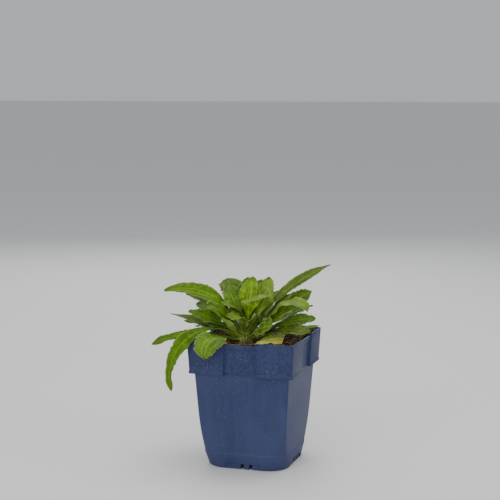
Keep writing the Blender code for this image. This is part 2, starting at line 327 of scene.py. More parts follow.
def outline(half, corner, height, recess=0.0, inset=0.0, dip=0.0):
    # one turn round the pot: square, round corners, a sunk stretch in the middle of each side
    half = half - inset
    corner = max(corner - inset, pot["leastCorner"])
    inner = pot["panelHalf"] + (inset if height > shoulder else 0.0)
    outer = inner + pot["panelJog"]
    points = []
    for side in range(4):
        turned = Matrix.Rotation(side * math.pi / 2, 3, "Z")
        front = [(-outer, -half, 0.0), (-inner, -half + recess, dip),
                 (inner, -half + recess, dip), (outer, -half, 0.0)]
        for step in range(pot["cornerSteps"] + 1):
            angle = -math.pi / 2 + step * math.pi / 2 / pot["cornerSteps"]
            bendX = half - corner + corner * math.cos(angle)
            bendY = -half + corner + corner * math.sin(angle)
            front.append((bendX, bendY, 0.0))
        points += [turned @ Vector((x, y, height - drop)) for x, y, drop in front]
    return points


def outsideRings():
    rings = []
    foot = pot["baseHalf"] + pot["bandProud"]
    for height, inset in pot["footRings"]:
        rings.append(outline(foot, pot["baseCorner"], height * mm, inset=inset * mm))
    band = bodyHalf(pot["bandTop"]) + pot["bandProud"]
    rings.append(outline(band, bodyCorner(pot["bandTop"]), pot["bandTop"]))
    steps = [pot["bandTop"] + pot["bandEdge"]] + [height * mm for height in pot["bodyRings"]]
    for height in steps + [pot["roundingStart"], shoulder]:
        rings.append(outline(bodyHalf(height), bodyCorner(height), height))
    corner, sunk, flare = pot["topCorner"], pot["panelDepth"], pot["flangeProud"]
    rings.append(outline(pot["collarFootHalf"] + flare, corner, shoulder, sunk + flare))
    flangeTop = shoulder + pot["flangeHeight"]
    rings.append(outline(collarHalf(flangeTop) + flare * 0.5, corner, flangeTop, sunk + flare * 0.5))
    above = flangeTop + pot["flangeEdge"]
    rings.append(outline(collarHalf(above), corner, above, sunk))
    lip = pot["height"] - pot["panelDip"] - pot["lipHeight"]
    rings.append(outline(collarHalf(lip), corner, lip, sunk))
    above = lip + pot["lipEdge"]
    rings.append(outline(collarHalf(above), corner, above, sunk - pot["lipProud"]))
    rings.append(outline(pot["rimHalf"], corner, pot["height"], sunk - pot["lipProud"], dip=pot["panelDip"]))
    return rings


def insideRings(clearance=0.0):
    inset = pot["wall"] + clearance
    thick = pot["baseWall"] + clearance
    ledge = shoulder + inset
    corner, sunk = pot["topCorner"], pot["panelDepth"]
    rings = [
        outline(pot["rimHalf"], corner, pot["height"], sunk, inset, pot["panelDip"]),
        outline(collarHalf(ledge), corner, ledge, sunk, inset),
        outline(bodyHalf(ledge), corner, ledge, 0.0, inset),
    ]
    steps = [height * mm for height in pot["innerRings"]]
    for height in [pot["roundingStart"]] + steps + [pot["bandTop"] + pot["innerBandEdge"]]:
        rings.append(outline(bodyHalf(height), bodyCorner(height), height, 0.0, inset))
    rings.append(outline(bodyHalf(pot["bandTop"]), bodyCorner(pot["bandTop"]), pot["bandTop"], 0.0, thick))
    rings.append(outline(pot["baseHalf"], pot["baseCorner"], pot["floor"] + clearance, 0.0, thick))
    return rings


def loft(name, rings):
    work = bmesh.new()
    rows = [[work.verts.new(point) for point in ring] for ring in rings]
    count = len(rings[0])
    for lower, upper in zip(rows, rows[1:]):
        for index in range(count):
            after = (index + 1) % count
            work.faces.new((lower[index], lower[after], upper[after], upper[index]))
    work.faces.new(list(reversed(rows[0])))
    work.faces.new(rows[-1])
    return meshFrom(name, work)


def cutBox(target, size, centre, turn):
    work = bmesh.new()
    bmesh.ops.create_cube(work, size=1.0)
    placed = Matrix.Rotation(turn, 4, "Z") @ Matrix.Translation(centre) @ Matrix.Diagonal((*size, 1.0))
    bmesh.ops.transform(work, matrix=placed, verts=work.verts)
    cutter = bpy.data.objects.new("cutter", meshFrom("cutter", work))
    bpy.context.scene.collection.objects.link(cutter)
    modifier = target.modifiers.new("cut", "BOOLEAN")
    modifier.operation = "DIFFERENCE"
    modifier.object = cutter
    return cutter


def applyModifiers(piece):
    bpy.context.view_layer.update()
    shaped = piece.evaluated_get(bpy.context.evaluated_depsgraph_get())
    mesh = bpy.data.meshes.new_from_object(shaped)
    piece.modifiers.clear()
    piece.data = mesh


def potPlastic():
    plastic = Finish("pot blue plastic", **{"IOR": 1.49, "Specular IOR Level": 0.2})
    place = plastic.place()
    clouds = plastic.noise(place, 22.0, 4.0)
    streaks = plastic.noise(plastic.stretch(place, (240.0, 240.0, 12.0)), 1.0, 3.0)
    dust = plastic.noise(place, 420.0, 5.0, 0.7).between(0.60, 0.78)
    dustPatches = plastic.noise(place, 35.0, 2.0).between(0.45, 0.75)
    scuff = plastic.noise(plastic.stretch(place, (60.0, 60.0, 900.0)), 1.0, 4.0).between(0.62, 0.72)
    height = place.node("SeparateXYZ", None, {0: place}, 2)
    blue = clouds.between(0.3, 0.7).blend(rgb(47, 56, 92), rgb(59, 68, 104))
    collar = height.between(shoulder - 1 * mm, shoulder + 1 * mm)
    # the whole collar is darkened: painted shade, standing in for the shadow of the leaves that hang over it
    blue = (collar * 0.62).blend(blue, rgb(28, 40, 78))
    wet = plastic.noise(plastic.stretch(place, (520.0, 520.0, 420.0)), 1.0, 2.0, 0.6, 1.2)
    runs = wet.between(0.46, 0.60) * collar
    blue = (runs * 0.16).blend(blue, rgb(84, 96, 130))
    blue = (wet.between(0.34, 0.44, 1.0, 0.0) * collar * 0.35).blend(blue, rgb(22, 33, 68))
    blue = (streaks.between(0.35, 0.8) * 0.35).blend(blue, rgb(62, 74, 110))
    blue = (dust * dustPatches * 0.4).blend(blue, rgb(120, 128, 148))
    grain = plastic.noise(place, 1500.0, 2.0)
    relief = grain * 0.5 + streaks * 0.5 + runs * 0.8
    rough = clouds.between(0.3, 0.7, 0.44, 0.54) + dust * 0.15 + scuff * 0.12
    return plastic.wire(Base_Color=blue, Roughness=rough, Normal=plastic.bump(relief, 0.12, 0.0002))


def makePot():
    shell = loft("nursery_pot", outsideRings() + insideRings())
    piece = addPiece("nursery_pot", shell, "pot_blue", potPlastic())
    width, depth, height = pot["recess"]
    face = pot["baseHalf"] + pot["bandProud"]
    reach = 10 * mm           # how deep each recess cutter is
    below = 1 * mm            # how far each cutter starts below the base
    cutters = []
    for side in range(4):
        turn = side * math.pi / 2
        centre = (0.0, -face - reach / 2 + depth, height / 2 - below)
        cutters.append(cutBox(piece, (width, reach, height + 2 * below), centre, turn))
        wide, deep, tall = pot["drainSlot"]
        for across in pot["drainPlaces"]:
            centre = (across, -face, tall / 2 - below)
            cutters.append(cutBox(piece, (wide, deep, tall + 2 * below), centre, turn))
    applyModifiers(piece)
    for cutter in cutters:
        bpy.data.objects.remove(cutter)
    rounding = piece.modifiers.new("rounded edges", "BEVEL")
    rounding.width = pot["edgeRound"]
    rounding.segments = 2
    rounding.limit_method = "ANGLE"
    rounding.angle_limit = math.radians(pot["edgeAngle"])
    rounding.use_clamp_overlap = True
    applyModifiers(piece)
    piece.data.shade_smooth()
    piece.data.set_sharp_from_angle(angle=math.radians(pot["smoothAngle"]))
    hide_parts("pot")


drops = {
    "count": 1500,
    "sides": (0, 0, 0, 1, 2, 3),   # the front is splashed most
    "onCollar": 0.5,          # share of them on the collar
    "aboveShoulder": 4 * mm,
    "belowRim": 9 * mm,
    "belowShoulder": 2 * mm,
    "lowest": 16 * mm,
    "thinning": 1.5,          # how quickly they thin out down the body
    "collarReach": 0.85,      # share of the side's half width
    "bodyReach": 0.8,
    "panelClear": 1.5 * mm,   # none across the edge of a collar panel
    "small": 0.09 * mm,
    "large": 0.40 * mm,
    "rarity": 3.5,            # how rare the large ones are
    "flatness": 0.45,
    "seed": 11,
}


def makeDrops():
    water = Finish("dried water specks", Roughness=0.25)
    chalk = water.noise(water.place(), 300.0).between(0.3, 0.7)
    material = water.wire(Base_Color=chalk.blend(rgb(62, 72, 106), rgb(112, 120, 142)))
    lean = math.atan((pot["shoulderHalf"] - pot["baseHalf"]) / shoulder)
    dice = random.Random(drops["seed"])
    placings = []
    for _ in range(drops["count"]):
        side = dice.choice(drops["sides"])
        onCollar = dice.random() < drops["onCollar"]
        if onCollar:
            height = dice.uniform(shoulder + drops["aboveShoulder"], pot["height"] - drops["belowRim"])
            half, reach = collarHalf(height), drops["collarReach"]
        else:
            fall = (shoulder - drops["lowest"]) * dice.random() ** drops["thinning"]
            height = shoulder - fall - drops["belowShoulder"]
            half, reach = bodyHalf(height), drops["bodyReach"]
        across = dice.uniform(-reach, reach) * half
        sunk = pot["panelDepth"] if onCollar and abs(across) < pot["panelHalf"] else 0.0
        if onCollar and abs(abs(across) - pot["panelHalf"]) < drops["panelClear"]:
            continue
        if bodyCorner(height) > half - abs(across) and not onCollar:
            continue
        size = drops["small"] + (drops["large"] - drops["small"]) * dice.random() ** drops["rarity"]
        stretch = dice.uniform(0.9, 1.3)
        turned = Matrix.Rotation(side * math.pi / 2, 4, "Z")
        placed = turned @ Matrix.Translation((across, -half + sunk, height)) @ Matrix.Rotation(lean, 4, "X")
        placings.append(placed @ Matrix.Diagonal((size, size * drops["flatness"], size * stretch, 1.0)))
    mesh = scatterMesh("water_specks", pebbleShape(1), placings)
    addPiece("water_specks", mesh, "pot_blue", material)


soil = {
    "clearance": 0.15 * mm,
    "low": 101.0 * mm,        # at the crown
    "high": 103.4 * mm,       # away from it
    "dishStart": 9 * mm,
    "dishSpan": 26 * mm,
    "heap": 1.2 * mm,         # the gentle rise to the front right
    "heapStart": 12 * mm,
    "heapSpan": 40 * mm,
    "cornerHeap": 2.4 * mm,   # and the steeper one in the back right corner
    "cornerStart": 14 * mm,
    "cornerSpan": 20 * mm,
    "lumps": 0.5 * mm,
    "crumbs": 0.5 * mm,
    "underGrains": 0.6 * mm,  # the mix lies this far below its grains
    "centreGap": 3 * mm,
    "edgeClear": 3.0 * mm,
    "panelClear": 16 * mm,
    "rings": 26,
    "grains": 5200,
    "seed": 5,
}
barkGrain = {
    "small": 0.30 * mm,
    "spread": 0.9 * mm,
    "rarity": 2.5,            # how rare the large ones are
    "roughen": 0.28,
    "sink": 0.25 * mm,
    "lift": 0.15,             # share of the grain's size
    "tip": 0.6,               # radians, either way
}
peatFibre = {
    "count": 420,
    "steps": 6,
    "curl": 1.2,              # radians, either way
    "lengths": (2.0, 7.0),    # mm
    "thicknesses": (0.10, 0.22),  # mm
    "lift": 0.25,             # mm
    "arch": 0.5,              # mm
    "edgeClear": 1.2 * mm,
}
crown = {
    "centre": Vector((-7.0, -8.0, 101.5)) * mm,
    "radius": 8.0 * mm,
    "foot": 98.6 * mm,
    "stalkBases": 15,
    "fluting": 0.06,
    "fraying": 0.02,
    "twist": 0.8,
    "lean": 0.25,
    "mudLow": 3 * mm,         # above its foot
    "mudHigh": 9 * mm,
}


def soilHeight(x, y):
    away = (Vector((x, y)) - crown["centre"].xy).length
    dish = smoothStep((away - soil["dishStart"]) / soil["dishSpan"])
    level = soil["low"] + (soil["high"] - soil["low"]) * dish
    heap = smoothStep((x - 0.6 * y - soil["heapStart"]) / soil["heapSpan"]) * soil["heap"]
    towardRight = smoothStep((x - soil["cornerStart"]) / soil["cornerSpan"])
    towardBack = smoothStep((y - soil["cornerStart"]) / soil["cornerSpan"])
    heap += towardRight * towardBack * soil["cornerHeap"]
    lumps = noise.noise(Vector((x, y, 0.0)) * 140.0) * soil["lumps"]
    return level + heap + lumps


def soilFinish():
    peat = Finish("damp potting mix", **{"Specular IOR Level": 0.25})
    place = peat.place()
    coarse = peat.noise(place, 260.0, 5.0, 0.7)
    fine = peat.noise(place, 1400.0, 4.0, 0.7)
    damp = peat.noise(place, 60.0)
    brown = coarse.between(0.35, 0.7).blend(rgb(14, 10, 6), rgb(50, 36, 20))
    brown = (fine.between(0.55, 0.75) * 0.5).blend(brown, rgb(112, 86, 48))
    height = coarse + fine * 0.5
    return peat.wire(Base_Color=brown, Roughness=damp.between(0.3, 0.7, 0.75, 0.95),
                     Normal=peat.bump(height, 0.7, 0.0006))


def grainFinish():
    bark = Finish("bark and peat grains", **{"Specular IOR Level": 0.3})
    place = bark.place()
    patch = bark.noise(place, 330.0, 1.0)
    fine = bark.noise(place, 2200.0, 4.0)
    stops = [(0.38, rgb(12, 8, 5)), (0.50, rgb(34, 23, 12)),
             (0.58, rgb(92, 60, 26)), (0.66, rgb(176, 138, 72))]
    tone = patch.node("ValToRGB", {"stops": stops}, {0: patch})
    tone = (fine.between(0.4, 0.7) * 0.4).blend(tone, rgb(30, 22, 14))
    return bark.wire(Base_Color=tone, Roughness=fine.between(0.3, 0.7, 0.7, 0.95),
                     Normal=bark.bump(fine, 0.5, 0.0003))


def fibreFinish():
    straw = Finish("peat fibres", Roughness=0.8)
    patch = straw.noise(straw.place(), 120.0, 2.0).between(0.35, 0.65)
    return straw.wire(Base_Color=patch.blend(rgb(112, 80, 38), rgb(178, 146, 84)))


def makeSoil():
    clearance = soil["clearance"]
    rings = list(reversed(insideRings(clearance)))[:-1]
    inset = pot["wall"] + clearance
    edge = outline(collarHalf(soil["high"]), pot["topCorner"], soil["high"], pot["panelDepth"], inset)
    centre = crown["centre"].xy
    for step in range(soil["rings"] + 1):
        share = step / soil["rings"]
        ring = []
        for point in edge:
            around = (point.xy - centre).normalized()
            spot = point.xy.lerp(centre + around * soil["centreGap"], share)
            rough = noise.fractal(Vector((spot.x, spot.y, 0.3)) * 420.0, 0.9, 2.0, 3) * soil["crumbs"]
            height = soilHeight(spot.x, spot.y) + rough - soil["underGrains"]
            ring.append(Vector((spot.x, spot.y, height)))
        rings.append(ring)
    piece = addPiece("potting_mix", loft("potting_mix", rings), "potting_soil", soilFinish())
    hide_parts("potting_soil")


def soilSpot(dice):
    # a place on the mix, clear of the rim, the sunk panels and the crown
    reach = pot["rimHalf"] - pot["wall"] - soil["edgeClear"]
    sunkStrip = reach - pot["panelDepth"]
    while True:
        x, y = dice.uniform(-reach, reach), dice.uniform(-reach, reach)
        nearest, farthest = sorted((abs(x), abs(y)))
        inPanel = farthest > sunkStrip and nearest < soil["panelClear"]
        away = (Vector((x, y)) - crown["centre"].xy).length
        if not inPanel and away > crown["radius"] * 0.9:
            return x, y


def makeGrains():
    dice = random.Random(soil["seed"])
    placings = []
    for _ in range(soil["grains"]):
        x, y = soilSpot(dice)
        size = barkGrain["small"] + barkGrain["spread"] * dice.random() ** barkGrain["rarity"]
        squash = (dice.uniform(0.7, 1.5), dice.uniform(0.6, 1.1), dice.uniform(0.4, 0.8))
        turned = Matrix.Rotation(dice.uniform(0, 6.28), 4, "Z")
        turned = turned @ Matrix.Rotation(dice.uniform(-barkGrain["tip"], barkGrain["tip"]), 4, "X")
        height = soilHeight(x, y) - barkGrain["sink"] + size * barkGrain["lift"]
        shape = Matrix.Diagonal((*[size * part for part in squash], 1.0))
        placings.append(Matrix.Translation((x, y, height)) @ turned @ shape)
    mesh = scatterMesh("soil_grains", pebbleShape(1), placings, barkGrain["roughen"], dice)
    piece = addPiece("soil_grains", mesh, "potting_soil", grainFinish())
    piece.data.shade_flat()


def addTube(work, points, radii, sides=4):
    # a closed tapering tube through the points
    rows = []
    for index, point in enumerate(points):
        ahead = points[min(index + 1, len(points) - 1)] - points[max(index - 1, 0)]
        across = ahead.cross(up)
        if across.length < 1e-9:
            across = Vector((1.0, 0.0, 0.0))
        across.normalize()
        other = across.cross(ahead).normalized()
        row = []
        for side in range(sides):
            angle = side * 2 * math.pi / sides
            spoke = across * math.cos(angle) + other * math.sin(angle)
            row.append(work.verts.new(point + spoke * radii[index]))
        rows.append(row)
    for lower, upper in zip(rows, rows[1:]):
        for side in range(sides):
            after = (side + 1) % sides
            work.faces.new((lower[side], lower[after], upper[after], upper[side]))
    work.faces.new(list(reversed(rows[0])))
    work.faces.new(rows[-1])


def makeFibres():
    dice = random.Random(soil["seed"] + 1)
    work = bmesh.new()
    steps = peatFibre["steps"]
    limit = pot["rimHalf"] - pot["wall"] - pot["panelDepth"] - peatFibre["edgeClear"]
    for _ in range(peatFibre["count"]):
        x, y = soilSpot(dice)
        heading = dice.uniform(0, 2 * math.pi)
        curl = dice.uniform(-peatFibre["curl"], peatFibre["curl"])
        length = dice.uniform(*peatFibre["lengths"]) * mm
        points = []
        for step in range(steps + 1):
            lift = (peatFibre["lift"] + peatFibre["arch"] * math.sin(step / steps * math.pi)) * mm
            points.append(Vector((x, y, soilHeight(x, y) + lift)))
            x += math.cos(heading + curl * step / steps) * length / steps
            y += math.sin(heading + curl * step / steps) * length / steps
        if max(max(abs(point.x), abs(point.y)) for point in points) > limit:
            continue
        thick = dice.uniform(*peatFibre["thicknesses"]) * mm
        addTube(work, points, [thick * (1 - 0.5 * step / steps) for step in range(steps + 1)])
    addPiece("peat_fibres", meshFrom("peat_fibres", work), "potting_soil", fibreFinish())


def stockFinish():
    husk = Finish("stalk bases", Roughness=0.75)
    place = husk.place()
    height = place.node("SeparateXYZ", None, {0: place}, 2)
    threads = husk.noise(husk.stretch(place, (700.0, 700.0, 90.0)), 1.0, 4.0)
    patch = husk.noise(place, 190.0)
    tone = threads.between(0.35, 0.65).blend(rgb(86, 100, 30), rgb(150, 166, 70))
    mud = height.between(crown["foot"] + crown["mudLow"], crown["foot"] + crown["mudHigh"], 0.85, 0.1)
    tone = (mud * patch.between(0.3, 0.6)).blend(tone, rgb(54, 42, 24))
    return husk.wire(Base_Color=tone, Normal=husk.bump(threads, 0.6, 0.0004))


def makeCrown():
    # a short stock wrapped in overlapping stalk bases
    work = bmesh.new()
    bmesh.ops.create_icosphere(work, subdivisions=6, radius=crown["radius"])
    for vert in work.verts:
        spot = vert.co.normalized()
        around = math.atan2(spot.y, spot.x)
        twist = noise.noise(Vector((spot.x * 2, spot.y * 2, spot.z))) * crown["twist"]
        flute = math.cos((around + twist * 0.3 + spot.z * crown["lean"]) * crown["stalkBases"])
        level = math.sqrt(max(0.0, 1 - spot.z ** 2))
        threads = noise.fractal(Vector((spot.x * 9, spot.y * 9, spot.z * 2)), 0.8, 2.0, 3)
        vert.co *= 1.0 + (crown["fluting"] * flute * level) + crown["fraying"] * threads
        vert.co.z = max(vert.co.z, crown["foot"] - crown["centre"].z)
    bmesh.ops.translate(work, vec=crown["centre"], verts=work.verts)
    piece = addPiece("crown_stock", meshFrom("crown_stock", work), "crown", stockFinish())
    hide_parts("crown")


leafForm = {
    "rows": 72,
    "columns": 11,            # from midrib to margin
    "petioleHalf": 1.15 * mm,
    "petioleShare": 0.22,
    "clasp": 1.3 * mm,        # how much wider each stalk grows where it hugs the crown
    "claspShare": 0.16,
    "thickness": 0.30 * mm,   # half the blade's thickness at the midrib
    "cup": 0.15,
    "waves": 1.3 * mm,
    "toothDepth": 0.19,
    "uneven": 0.23,           # slow change of width along each side
    "ragged": 1.9 * mm,       # how unevenly the tip ends
    "veins": 5.0,             # pairs of side veins along the blade
    "veinSweep": 2.6,         # how far forward they run on their way to the margin
    "midribGroove": 0.22 * mm,
    "midribRidge": 0.55 * mm,
    "quilt": 0.16 * mm,
    "pleat": 0.22 * mm,       # lengthwise ribs that catch the light
    "pleats": 3.6,
    "swell": 0.9 * mm,        # slow unevenness of the blade
    "crease": 0.09,           # width of the midrib's crease, as a share of half the blade
    "rootSpread": 0.8,
    "rootGap": 0.3 * mm,
    "foldSpan": 0.2,
    "leastHalf": 0.15 * mm,
}

# heading (degrees, 0 = +X), length (mm), rise at the crown and at the tip (degrees), bend (negative folds
# the leaf over at that share), width (mm), widest point (share of length), roll and swing (degrees),
# tip roundness, wave, colour
leaves = {
    "outer_leaf_01": (246, 52, 16, -80, 2.6, 24, 0.66, -10, 28, 0.95, 1.3, "bright"),
    "outer_leaf_02": (225, 95, 39, -107, 1.0, 13, 0.46, -30, 0, 0.55, 1.4, "fresh"),
    "outer_leaf_03": (205, 70, 19, -24, 1.0, 9, 0.72, -35, 0, 0.7, 1.1, "fresh"),
    "outer_leaf_04": (174, 49, 25, -3, 1.2, 9, 0.60, -25, 0, 0.6, 0.6, "grey"),
    "outer_leaf_05": (154, 50, 20, -12, 1.0, 14, 0.65, -10, 0, 0.8, 0.8, "deep"),
    "outer_leaf_06": (118, 62, 24, -10, 1.0, 16, 0.65, 0, 0, 0.8, 1.0, "deep"),
    "outer_leaf_07": (72, 58, 24, -8, 1.0, 16, 0.65, 5, 0, 0.8, 1.0, "deep"),
    "outer_leaf_08": (26, 55, 17, 2, 1.0, 6, 0.75, 20, 0, 0.8, 0.6, "lime"),
    "outer_leaf_09": (336, 63, 27, -4, 1.0, 15, 0.74, 30, 0, 0.7, 1.3, "olive"),
    "middle_leaf_01": (189, 57, 28, 9, 1.0, 9, 0.60, -20, 0, 0.5, 0.8, "grey"),
    "middle_leaf_02": (202, 45, 46, 8, 1.0, 12, 0.65, -40, 0, 0.85, 1.3, "fresh"),
    "middle_leaf_03": (247, 25.5, 45, 37.5, 1.0, 12.5, 0.72, -3, 0, 0.8, 0.6, "young_and_lit"),
    "middle_leaf_04": (165, 48, 48, 6, 1.0, 13, 0.62, -30, 0, 0.8, 1.2, "grey"),
    "middle_leaf_05": (142, 50, 42, 0, 1.0, 15, 0.65, -5, 0, 0.8, 0.8, "deep"),
    "middle_leaf_06": (66, 54, 40, 0, 1.0, 18, 0.65, 0, 0, 0.8, 1.0, "deep"),
    "middle_leaf_07": (36, 58, 36, 10, 1.0, 14, 0.65, 10, 0, 0.8, 1.0, "deep"),
    "middle_leaf_08": (10, 54, 33, 3, 1.0, 11, 0.82, 48, 0, 0.85, 1.4, "soft"),
    "middle_leaf_09": (341, 50, 39, 27, 1.0, 14, 0.66, 30, 0, 0.85, 1.6, "bright"),
    "middle_leaf_10": (322, 36, 37, 13, 1.0, 19, 0.55, 54, 0, 0.8, 1.5, "ribbed"),
    "middle_leaf_11": (350, 65, 47, -75, 4.0, 14, 0.70, 20, 0, 0.9, 1.6, "pale"),
    "middle_leaf_12": (26, 61, 45, 26, 1.0, 17, 0.70, 40, 0, 0.95, 1.3, "bright"),
    "middle_leaf_13": (312, 27, 54, 38, 1.0, 13, 0.62, 10, 0, 0.8, 1.5, "ribbed"),
    "middle_leaf_14": (196, 38, 36, 16, 1.0, 10, 0.62, -25, 0, 0.8, 0.8, "grey"),
    "middle_leaf_15": (114, 48, 60, 28, 1.0, 15, 0.65, 0, 0, 0.8, 0.8, "deep"),
    "middle_leaf_16": (66, 50, 58, 20, 1.0, 15, 0.65, 0, 0, 0.8, 0.8, "deep"),
    "inner_leaf_01": (192, 80, 75.5, -20, 1.0, 14, 0.56, -48, 0, 0.55, 0.8, "bright"),
    "inner_leaf_02": (175, 59, 60, 4, 1.0, 12, 0.62, -25, 0, 0.7, 0.8, "deep"),
    "inner_leaf_03": (219.5, 39, 63.5, 22, 1.0, 16, 0.62, -35, 0, 0.9, 0.9, "bright"),
    "inner_leaf_04": (15, 89, 65, 22, 0.8, 11, 0.62, 40, 0, 0.5, 0.8, "grey"),
    "inner_leaf_05": (8, 50, 50, 44, 1.0, 13, 0.62, 30, 0, 0.85, 1.2, "grey"),
    "inner_leaf_06": (140, 48, 72, 51, 1.0, 26, 0.68, 0, 0, 0.95, 1.6, "grey"),
    "inner_leaf_07": (170, 41, 83, 57, 1.0, 17.5, 0.66, -33, 0, 0.8, 0.8, "soft"),
    "inner_leaf_08": (45, 45, 88, 78, 1.0, 19, 0.62, 50, 0, 0.9, 1.5, "lime"),
    "inner_leaf_09": (36, 49, 58.5, 80, 0.7, 16, 0.66, 50, 0, 0.9, 1.4, "young_and_lit"),
    "inner_leaf_10": (78, 47, 66, 56, 1.0, 13, 0.66, 15, 0, 0.9, 1.0, "soft"),
    "inner_leaf_11": (163, 62, 131, -12, -0.60, 15, 0.62, 0, 60, 0.9, 1.0, "pale"),
    "inner_leaf_12": (100, 45, 79, 70, 1.0, 14, 0.66, 0, 0, 0.9, 1.4, "fresh"),
    "heart_leaf_01": (283, 23, 62, 34, 1.0, 7, 0.62, 0, 0, 0.85, 0.6, "ribbed"),
    "heart_leaf_02": (266, 27, 74, 6, -0.55, 10, 0.70, -30, -60, 0.9, 0.9, "young_and_lit"),
    "heart_leaf_03": (230, 38, 103, -6, 1.0, 11, 0.62, -20, 0, 0.9, 0.6, "bright"),
}

leafColors = {
    # upper face, vein, underside, mottling, ribbing
    "fresh": (rgb(72, 112, 2), rgb(124, 158, 22), rgb(91, 122, 26), 0.25, 1.0),
    "bright": (rgb(80, 122, 2), rgb(135, 170, 24), rgb(99, 132, 26), 0.3, 1.0),
    "lime": (rgb(108, 156, 2), rgb(164, 196, 34), rgb(125, 158, 34), 0.6, 1.0),
    "deep": (rgb(57, 92, 6), rgb(103, 138, 26), rgb(78, 108, 28), 0.2, 1.0),
    "grey": (rgb(78, 104, 28), rgb(124, 150, 60), rgb(99, 126, 42), 0.25, 1.0),
    "pale": (rgb(106, 138, 34), rgb(150, 178, 76), rgb(118, 146, 54), 0.4, 0.8),
    "soft": (rgb(87, 126, 26), rgb(139, 172, 72), rgb(103, 134, 46), 0.35, 1.2),
    "olive": (rgb(55, 76, 2), rgb(112, 132, 30), rgb(80, 100, 20), 0.4, 1.4),
    "ribbed": (rgb(80, 112, 14), rgb(156, 184, 84), rgb(80, 108, 22), 0.3, 2.4),
    # young leaves: a paler green of their own, raised further, the underside most, as painted light on these
    # inner leaves that sit in shade
    "young_and_lit": (rgb(140, 176, 44), rgb(182, 208, 98), rgb(168, 200, 84), 0.4, 1.0),
}


def bladeLayout(finish):
    # where a point lies on its blade: across it, along it, and how far off the midrib
    layout = finish.start.node("UVMap")
    across = layout.node("SeparateXYZ", None, {0: layout}, 0)
    along = layout.node("SeparateXYZ", None, {0: layout}, 1)
    off = (across * 2.0 - 1.0).magnitude()
    return layout, across, along, off


def leafFinish(name, face, vein, mottling, ribbing, underside=False):
    leaf = Finish(name, **{"Sheen Weight": 0.03, "Sheen Roughness": 0.5, "Sheen Tint": rgb(200, 222, 130),
                           "Subsurface Weight": 0.12, "Subsurface Scale": 0.0012, "Specular IOR Level": 0.14})
    place = leaf.place()
    layout, _, along, off = bladeLayout(leaf)
    patch = leaf.noise(place, 62.0, 3.0)
    mottle = leaf.noise(place, 240.0, 4.0, 0.6)
    drift = place.node("VectorMath", {"operation": "SCALE"}, {0: place, "Scale": 60.0})
    drawnOut = {"operation": "MULTIPLY_ADD"}
    streaky = place.node("VectorMath", drawnOut, {0: layout, 1: (15.0, 2.2, 1.0), 2: drift})
    streaks = leaf.noise(streaky, 1.0, 3.0, 0.5)
    downy = place.node("VectorMath", drawnOut, {0: layout, 1: (80.0, 300.0, 1.0), 2: drift})
    fuzz = leaf.noise(downy, 1.0, 3.0, 0.7)

    midrib = off.between(0.0, 0.085, 1.0, 0.0)
    ribPath = along * leafForm["veins"] - off * leafForm["veinSweep"] + patch * 1.1 + mottle * 0.5
    sweep = (ribPath * (2 * math.pi)).sine()
    ribs = sweep.between(0.80, 1.0) * off.between(0.04, 0.2) * off.between(0.6, 0.95, 1.0, 0.0)
    ribs = ribs * mottle.between(0.35, 0.6)
    stripes = ((off * leafForm["pleats"] + patch * 0.7) * (2 * math.pi)).sine().between(0.55, 1.0)
    stripes = stripes * along.between(0.25, 0.85, 1.0, 0.15) * off.between(0.08, 0.3)
    margin = off.between(0.89, 1.0)
    stalk = along.between(0.02, 0.34, 1.0, 0.0)
    frost = along.between(0.6, 1.0) * 0.3 + off.between(0.5, 1.0) * along.between(0.25, 0.6) * 0.14

    shade = [channel * 0.45 for channel in face[:3]] + [1.0]
    glow = [min(1.0, channel * 1.12) for channel in face[:3]] + [1.0]
    tone = patch.between(0.24, 0.74).blend(glow, shade)
    tone = (streaks.between(0.42, 0.66) * 0.42).blend(tone, shade)
    tone = (streaks.between(0.34, 0.46, 1.0, 0.0) * 0.30).blend(tone, vein)
    tone = (mottle.between(0.48, 0.62) * mottling).blend(tone, vein)
    tone = (ribs * (0.42 if underside else 0.24)).blend(tone, vein)
    tone = (stripes * min(1.0, ribbing * (0.5 if underside else 0.42))).blend(tone, vein)
    tone = (frost * patch.between(0.3, 0.6, 0.6, 1.0)).blend(tone, rgb(108, 134, 62))
    tone = (stalk * 0.6).blend(tone, rgb(128, 152, 50))
    tone = (midrib * 0.7).blend(tone, vein)
    tone = (fuzz.between(0.52, 0.82) * (0.36 if underside else 0.20)).blend(tone, rgb(126, 160, 44))
    # pale rim along each margin: partly the pale colour of the hairs there, partly painted sheen of those
    # hairs catching the light
    tone = (margin * 0.58).blend(tone, rgb(158, 182, 94))
    relief = mottle * 0.45 + fuzz * 0.25 + streaks * 0.6 - ribs * 0.5 - stripes * 0.4
    rough = fuzz.between(0.3, 0.8, 0.46, 0.70)
    return leaf.wire(Base_Color=tone, Roughness=rough, Normal=leaf.bump(relief, 0.8, 0.0004))


def makeLeafFinishes():
    made = {}
    for color, (face, vein, underside, mottling, ribbing) in leafColors.items():
        made[color] = (leafFinish(f"{color} leaf face", face, vein, mottling, ribbing),
                       leafFinish(f"{color} leaf underside", underside, vein, mottling, ribbing, True))
    return made


def halfWidth(share, width, widest, tipRound):
    stalk = leafForm["petioleHalf"]
    start = leafForm["petioleShare"]
    if share < widest:
        clasp = leafForm["clasp"] * (1 - smoothStep(share / leafForm["claspShare"]))
        return stalk + clasp + (width / 2 - stalk) * smoothStep((share - start) / (widest - start))
    past = (share - widest) / (1 - widest)
    roundEnd = math.sqrt(max(0.0, 1 - past ** 2))
    pointed = 1 - past ** 1.5
    return width / 2 * (roundEnd * tipRound + pointed * (1 - tipRound))


def teeth(share, side, seed):
    # shallow blunt teeth, only on the outer half of the blade
    where = share * 13 + side * 0.4 + seed + 0.7 * math.sin(share * 9 + seed * side)
    bump = 0.5 - 0.5 * math.cos(2 * math.pi * where)
    size = 0.6 + 0.4 * math.sin(share * 27 + seed * 3 + side)
    return (bump ** 0.7 - 0.5) * size * smoothStep((share - 0.4) / 0.25) * smoothStep((1 - share) / 0.06)


